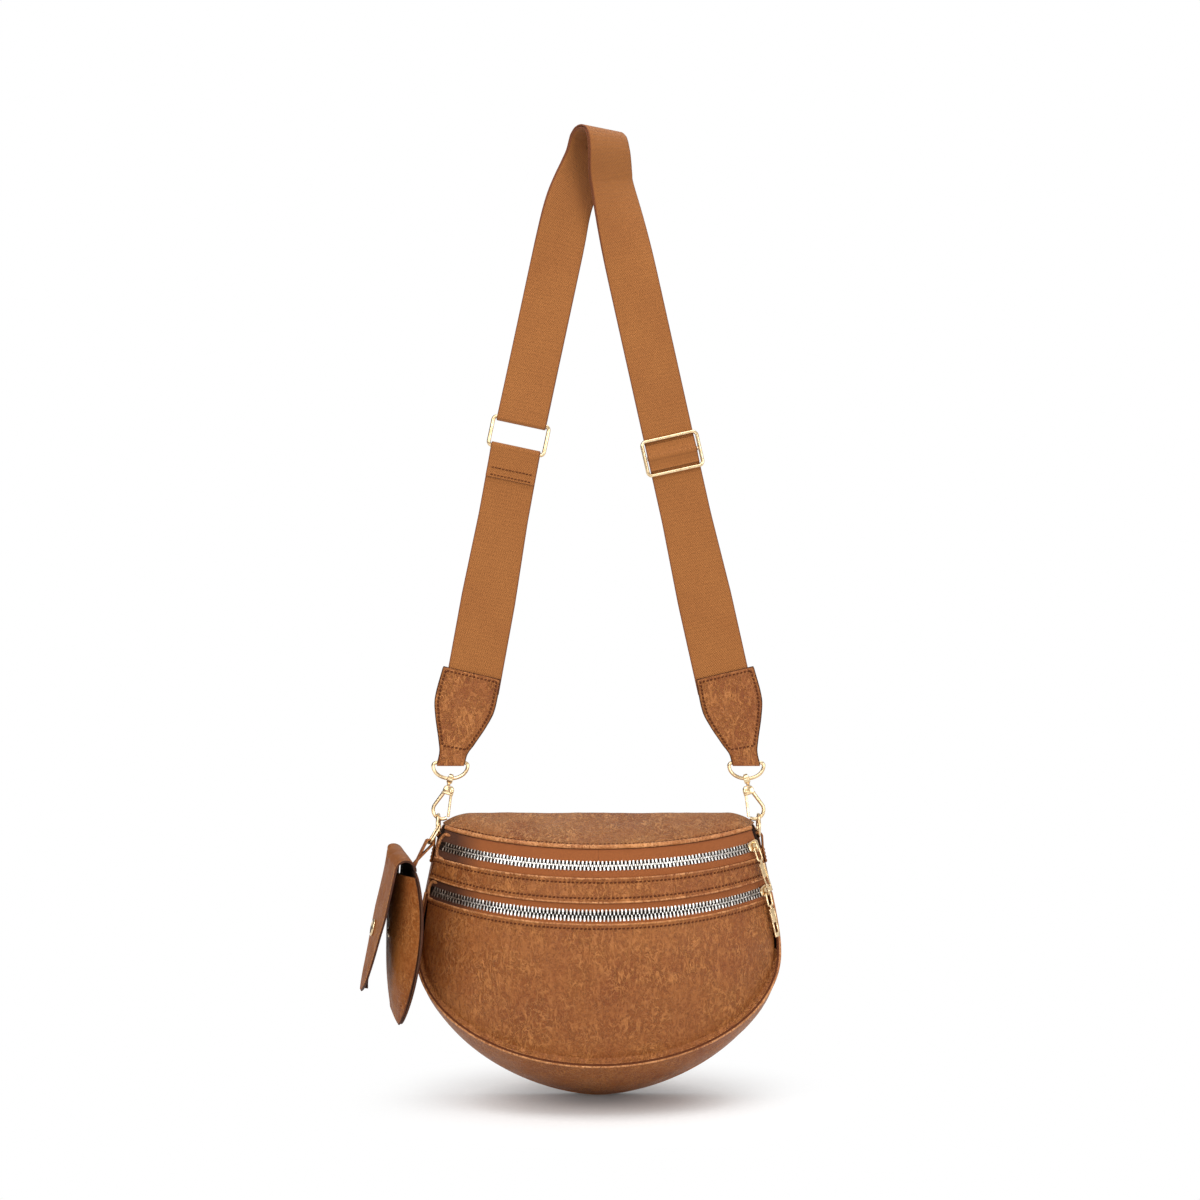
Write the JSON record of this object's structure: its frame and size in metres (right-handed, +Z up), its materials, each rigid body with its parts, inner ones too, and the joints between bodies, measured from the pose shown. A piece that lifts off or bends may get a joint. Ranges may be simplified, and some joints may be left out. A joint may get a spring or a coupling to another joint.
{
  "type": "half moon crossbody bag",
  "caption": "Half moon crossbody bag in leatherette with curved zips, hung by snap hooks from a webbing strap with a slide adjuster, and a small flap pouch at its side.",
  "frame": {"origin": "underside of the strap's crown, where the strap hangs on a peg or a shoulder", "axes": "+X to the right seen from the front, +Y to the back panel's side, +Z up; the front faces -Y"},
  "size_m": [0.3131, 0.0943, 0.7181],
  "materials": {
    "leather": "mottled tan leatherette, satin",
    "piping_leather": "tan leatherette turned over a cord",
    "webbing": "woven tan webbing",
    "zip_tape": "woven reddish brown tape",
    "zip_teeth": "bright metal teeth",
    "lining": "plain dark lining",
    "pale_gold": "polished pale gold plate"
  },
  "bodies": {
    "strap": {"main_webbing": "webbing", "return_webbing": "webbing", "rect_ring": "pale_gold", "short_webbing": "webbing", "strap_tab_left": "leather", "strap_tab_right": "leather"},
    "adjuster": {"adjuster_frame": "pale_gold", "adjuster_bar": "pale_gold", "bar_webbing": "webbing"},
    "tab_ring_left": {"tab_ring_left": "pale_gold"},
    "tab_ring_right": {"tab_ring_right": "pale_gold"},
    "eye_left": {"swivel_eye_left": "pale_gold"},
    "eye_right": {"swivel_eye_right": "pale_gold"},
    "hook_left": {"hook_left": "pale_gold", "rivet_left": "pale_gold"},
    "hook_right": {"hook_right": "pale_gold", "rivet_right": "pale_gold"},
    "gate_left": {"gate_left": "pale_gold"},
    "gate_right": {"gate_right": "pale_gold"},
    "bag": {"back_panel": "leather", "gusset": "leather", "front_piping": "piping_leather", "front_panel": "leather", "pocket_divider": "lining", "lower_teeth_top": "zip_teeth", "lower_teeth_bottom": "zip_teeth", "lower_tape_top": "zip_tape", "lower_tape_bottom": "zip_tape", "upper_tape_bottom": "zip_tape", "upper_teeth_bottom": "zip_teeth", "middle_band": "leather", "top_corner_left": "leather", "top_corner_right": "leather", "upper_teeth_end_left": "zip_teeth", "upper_teeth_end_right": "zip_teeth", "side_ring_left": "pale_gold", "side_ring_right": "pale_gold", "side_tab_left": "leather", "side_tab_right": "leather"},
    "lid": {"top_panel": "leather", "top_piping": "piping_leather", "upper_tape_top": "zip_tape", "upper_teeth_top": "zip_teeth"},
    "upper_slider": {"upper_slider": "pale_gold"},
    "upper_pull_link": {"upper_pull_link": "pale_gold"},
    "upper_puller": {"upper_puller": "pale_gold"},
    "lower_slider": {"lower_slider": "pale_gold"},
    "lower_pull_link": {"lower_pull_link": "pale_gold"},
    "lower_puller": {"lower_puller": "pale_gold"},
    "pouch_link": {"pouch_link": "pale_gold"},
    "pouch": {"pouch_back": "leather", "pouch_front": "leather", "pouch_loop": "leather", "snap_stud": "pale_gold"},
    "pouch_flap": {"pouch_flap": "leather", "snap_cap": "pale_gold"}
  },
  "joints": [
    {"name": "adjuster_slide", "type": "slide", "parent": "strap", "child": "adjuster", "axis": [-0.2178, 0, 0.976], "range_m": [0, 0.09]},
    {"name": "tab_ring_left_hinge", "type": "hinge", "parent": "strap", "child": "tab_ring_left", "pos_m": [-0.1095, 0, -0.4665], "axis": [1, 0, 0], "range_deg": [-35, 35]},
    {"name": "eye_left_hinge", "type": "hinge", "parent": "tab_ring_left", "child": "eye_left", "pos_m": [-0.1095, 0, -0.4782], "axis": [1, 0, 0], "range_deg": [-40, 40]},
    {"name": "hook_left_swivel", "type": "hinge", "parent": "eye_left", "child": "hook_left", "pos_m": [-0.1184, 0, -0.5075], "axis": [0.2906, 0, 0.9568], "range_deg": [-30, 30]},
    {"name": "gate_left_hinge", "type": "hinge", "parent": "hook_left", "child": "gate_left", "pos_m": [-0.10876, 0, -0.48747], "axis": [0, 1, 0], "range_deg": [0, 12], "stiffness_Nm_per_rad": 0.01, "springref_deg": -20.05},
    {"name": "tab_ring_right_hinge", "type": "hinge", "parent": "strap", "child": "tab_ring_right", "pos_m": [0.1095, 0, -0.4665], "axis": [1, 0, 0], "range_deg": [-35, 35]},
    {"name": "eye_right_hinge", "type": "hinge", "parent": "tab_ring_right", "child": "eye_right", "pos_m": [0.1095, 0, -0.4782], "axis": [1, 0, 0], "range_deg": [-40, 40]},
    {"name": "hook_right_swivel", "type": "hinge", "parent": "eye_right", "child": "hook_right", "pos_m": [0.1184, 0, -0.5075], "axis": [-0.2906, 0, 0.9568], "range_deg": [-30, 30]},
    {"name": "gate_right_hinge", "type": "hinge", "parent": "hook_right", "child": "gate_right", "pos_m": [0.10876, 0, -0.48747], "axis": [0, -1, 0], "range_deg": [0, 12], "stiffness_Nm_per_rad": 0.01, "springref_deg": -20.05},
    {"name": "bag_hang", "type": "hinge", "parent": "eye_left", "child": "bag", "pos_m": [0, 0, -0.5075], "axis": [1, 0, 0], "range_deg": [-35, 35]},
    {"name": "lid_hinge", "type": "hinge", "parent": "bag", "child": "lid", "pos_m": [0, 0.014, -0.507], "axis": [-1, 0, 0], "range_deg": [0, 90]},
    {"name": "upper_slider_run", "type": "hinge", "parent": "bag", "child": "upper_slider", "pos_m": [0, 0.10846, -0.50635], "axis": [0, -0.1736, 0.9848], "range_deg": [-84.01, 0]},
    {"name": "upper_pull_hinge", "type": "hinge", "parent": "upper_slider", "child": "upper_pull_link", "pos_m": [0.11571, -0.01336, -0.52767], "axis": [-0.7303, -0.6728, -0.1186], "range_deg": [0, 70]},
    {"name": "upper_puller_hinge", "type": "hinge", "parent": "upper_pull_link", "child": "upper_puller", "pos_m": [0.11852, -0.01484, -0.53662], "axis": [-0.7303, -0.6728, -0.1186], "range_deg": [0, 70]},
    {"name": "lower_slider_run", "type": "hinge", "parent": "bag", "child": "lower_slider", "pos_m": [0, 0.1015, -0.54035], "axis": [0, -0.1736, 0.9848], "range_deg": [-92, 0]},
    {"name": "lower_pull_hinge", "type": "hinge", "parent": "lower_slider", "child": "lower_pull_link", "pos_m": [0.12417, -0.0118, -0.56081], "axis": [-0.6799, -0.7221, -0.1273], "range_deg": [0, 70]},
    {"name": "lower_puller_hinge", "type": "hinge", "parent": "lower_pull_link", "child": "lower_puller", "pos_m": [0.12626, -0.01213, -0.57007], "axis": [-0.6799, -0.7221, -0.1273], "range_deg": [0, 70]},
    {"name": "pouch_link_hinge", "type": "hinge", "parent": "bag", "child": "pouch_link", "pos_m": [-0.1184, -0.00776, -0.51474], "axis": [0, 1, 0], "range_deg": [0, 40]},
    {"name": "pouch_swing", "type": "hinge", "parent": "pouch_link", "child": "pouch", "pos_m": [-0.12426, -0.01222, -0.52444], "axis": [0, 1, 0], "range_deg": [0, 15]},
    {"name": "pouch_flap_hinge", "type": "hinge", "parent": "pouch", "child": "pouch_flap", "pos_m": [-0.13762, -0.01971, -0.53796], "axis": [-0.2079, 0.9781, 0], "range_deg": [-8, 70]}
  ],
  "couplings": [
    {"joint": "tab_ring_right_hinge", "follows": "tab_ring_left_hinge", "ratio": 1},
    {"joint": "eye_right_hinge", "follows": "eye_left_hinge", "ratio": 1},
    {"joint": "upper_slider_run", "follows": "lid_hinge", "ratio": -0.9333}
  ]
}
